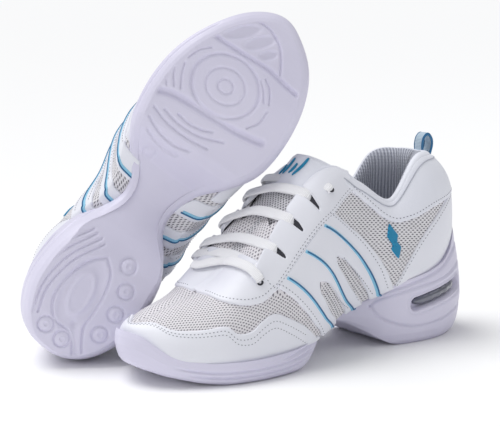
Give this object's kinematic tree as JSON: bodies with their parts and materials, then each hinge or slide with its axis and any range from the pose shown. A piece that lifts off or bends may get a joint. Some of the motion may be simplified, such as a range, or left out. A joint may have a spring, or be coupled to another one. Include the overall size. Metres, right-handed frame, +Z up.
{
  "type": "pair of cheer shoes",
  "caption": "Pair of laced split-sole cheer shoes in white mesh and leather with blue piping, one standing and one leaning on it, with flexing arches, toes, tongues and pull loops.",
  "frame": {"origin": "centre of the flat ground face of the standing left shoe's heel, on the ground", "axes": "+X along the standing shoe from heel to toe, +Y to the wearer's left, which is that shoe's outer side, +Z up from the ground"},
  "size_m": [0.288, 0.2236, 0.2188],
  "materials": {
    "sole": "satin moulded foam rubber",
    "cushion": "clear air cushion",
    "insole": "brushed cloth over foam",
    "lining": "ribbed cloth over foam",
    "mesh": "open knitted mesh",
    "leather": "smooth white synthetic leather",
    "embroidery": "blue embroidery thread",
    "piping": "blue piping",
    "laces": "flat woven lace",
    "webbing": "woven webbing"
  },
  "bodies": {
    "left_heel": {"left_heel_sole": "sole", "left_air_cushion": "cushion", "left_heel_insole": "insole", "left_heel_lining": "lining", "left_quarter_mesh": "mesh", "left_heel_counter": "leather", "left_collar": "leather", "left_eyestay_rear": "leather", "left_heel_emblem": "embroidery", "left_side_band_rear": "leather", "left_piping_rear": "piping"},
    "left_forefoot": {"left_forefoot_sole": "sole", "left_forefoot_insole": "insole", "left_forefoot_lining": "lining", "left_vamp_mesh": "mesh", "left_mudguard": "leather", "left_throat_panel": "leather", "left_eyestay_front": "leather", "left_side_bands_front": "leather", "left_piping_front": "piping", "left_tongue": "mesh", "left_laces": "laces"},
    "left_toe": {"left_toe_sole": "sole", "left_toe_insole": "insole", "left_toe_cap": "leather", "left_toe_mesh": "mesh"},
    "left_tongue_flap": {"left_tongue_flap": "leather", "left_tongue_mark": "embroidery"},
    "left_pull_loop": {"left_pull_loop": "webbing"},
    "right_heel": {"right_heel_sole": "sole", "right_air_cushion": "cushion", "right_heel_insole": "insole", "right_heel_lining": "lining", "right_quarter_mesh": "mesh", "right_heel_counter": "leather", "right_collar": "leather", "right_eyestay_rear": "leather", "right_heel_emblem": "embroidery", "right_side_band_rear": "leather", "right_piping_rear": "piping"},
    "right_forefoot": {"right_forefoot_sole": "sole", "right_forefoot_insole": "insole", "right_forefoot_lining": "lining", "right_vamp_mesh": "mesh", "right_mudguard": "leather", "right_throat_panel": "leather", "right_eyestay_front": "leather", "right_side_bands_front": "leather", "right_piping_front": "piping", "right_tongue": "mesh", "right_laces": "laces"},
    "right_toe": {"right_toe_sole": "sole", "right_toe_insole": "insole", "right_toe_cap": "leather", "right_toe_mesh": "mesh"},
    "right_tongue_flap": {"right_tongue_flap": "leather", "right_tongue_mark": "embroidery"},
    "right_pull_loop": {"right_pull_loop": "webbing"}
  },
  "joints": [
    {"name": "left_arch_flex", "type": "hinge", "parent": "left_heel", "child": "left_forefoot", "pos_m": [0.067, 0, 0.02], "axis": [0, 1, 0], "range_deg": [0, 20], "stiffness_Nm_per_rad": 3},
    {"name": "left_toe_flex", "type": "hinge", "parent": "left_forefoot", "child": "left_toe", "pos_m": [0.167, 0, 0.017], "axis": [0, -1, 0], "range_deg": [-3, 14], "stiffness_Nm_per_rad": 1},
    {"name": "left_tongue_tilt", "type": "hinge", "parent": "left_heel", "child": "left_tongue_flap", "pos_m": [0.094, 0, 0.106], "axis": [0, 1, 0], "range_deg": [-10, 20], "stiffness_Nm_per_rad": 0.1},
    {"name": "left_loop_swing", "type": "hinge", "parent": "left_heel", "child": "left_pull_loop", "pos_m": [-0.026, 0, 0.12], "axis": [0, 1, 0], "range_deg": [-35, 35], "stiffness_Nm_per_rad": 0.02},
    {"name": "right_arch_flex", "type": "hinge", "parent": "right_heel", "child": "right_forefoot", "pos_m": [0.16413, -0.05016, 0.09885], "axis": [-0.6979, 0.3973, -0.5958], "range_deg": [0, 20], "stiffness_Nm_per_rad": 3},
    {"name": "right_toe_flex", "type": "hinge", "parent": "right_forefoot", "child": "right_toe", "pos_m": [0.11006, -0.02476, 0.1791], "axis": [0.6979, -0.3973, 0.5958], "range_deg": [-3, 25], "stiffness_Nm_per_rad": 1},
    {"name": "right_tongue_tilt", "type": "hinge", "parent": "right_heel", "child": "right_tongue_flap", "pos_m": [0.11015, -0.12048, 0.11517], "axis": [-0.6979, 0.3973, -0.5958], "range_deg": [-10, 20], "stiffness_Nm_per_rad": 0.1},
    {"name": "right_loop_swing", "type": "hinge", "parent": "right_heel", "child": "right_pull_loop", "pos_m": [0.17031, -0.16021, 0.01822], "axis": [-0.6979, 0.3973, -0.5958], "range_deg": [-35, 35], "stiffness_Nm_per_rad": 0.02},
    {"name": "right_lift_off", "type": "slide", "parent": "left_heel", "child": "right_heel", "axis": [0, -0.8, 0.6], "range_m": [0, 0.12]}
  ]
}
